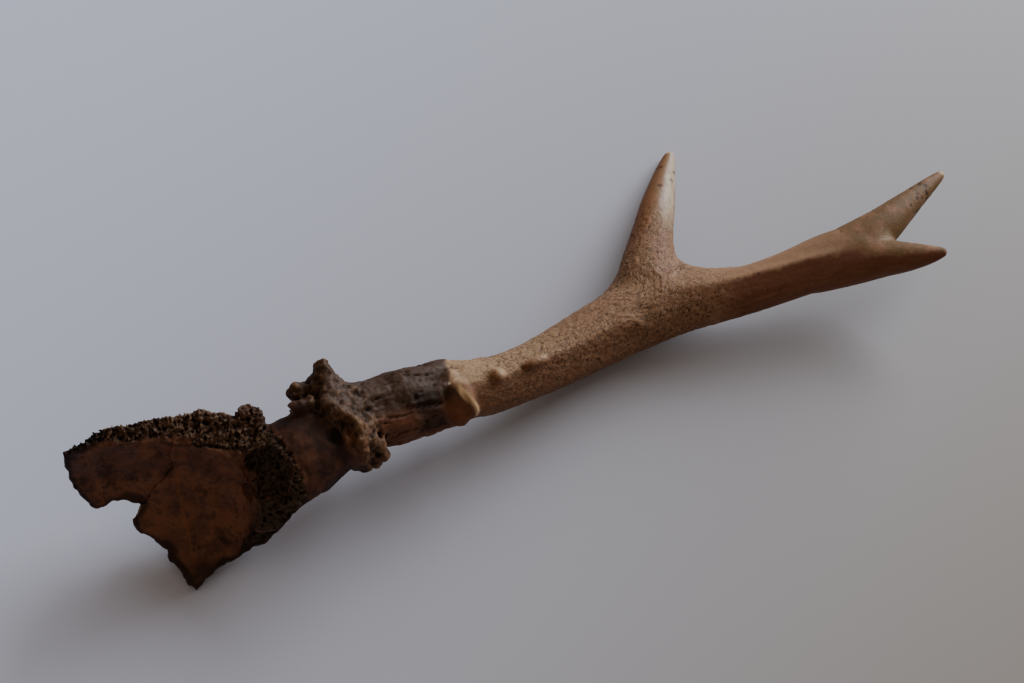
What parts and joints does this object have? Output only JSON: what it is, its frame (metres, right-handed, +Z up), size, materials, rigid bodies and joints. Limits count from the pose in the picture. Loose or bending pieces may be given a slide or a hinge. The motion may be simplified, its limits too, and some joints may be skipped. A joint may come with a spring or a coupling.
{
  "type": "deer antler trophy",
  "caption": "Roe deer antler with three tines and a knobbly burr, still on its pedicle and a broken half of the skull roof.",
  "frame": {"origin": "on the table, below the middle of the whole part's bounding box", "axes": "+X from the skull piece to the tip of the top tine, +Y to the side the front tine points to, +Z up from the table"},
  "size_m": [0.2762, 0.0854, 0.0402],
  "materials": {
    "skull_bone": null,
    "dark_antler": null,
    "pale_antler": null
  },
  "bodies": {
    "root": {"frontal_bone": "skull_bone", "parietal_bone": "skull_bone", "lower_beam": "dark_antler", "upper_beam": "pale_antler", "front_tine": "pale_antler", "rear_tine": "pale_antler", "top_tine": "pale_antler"}
  },
  "joints": []
}
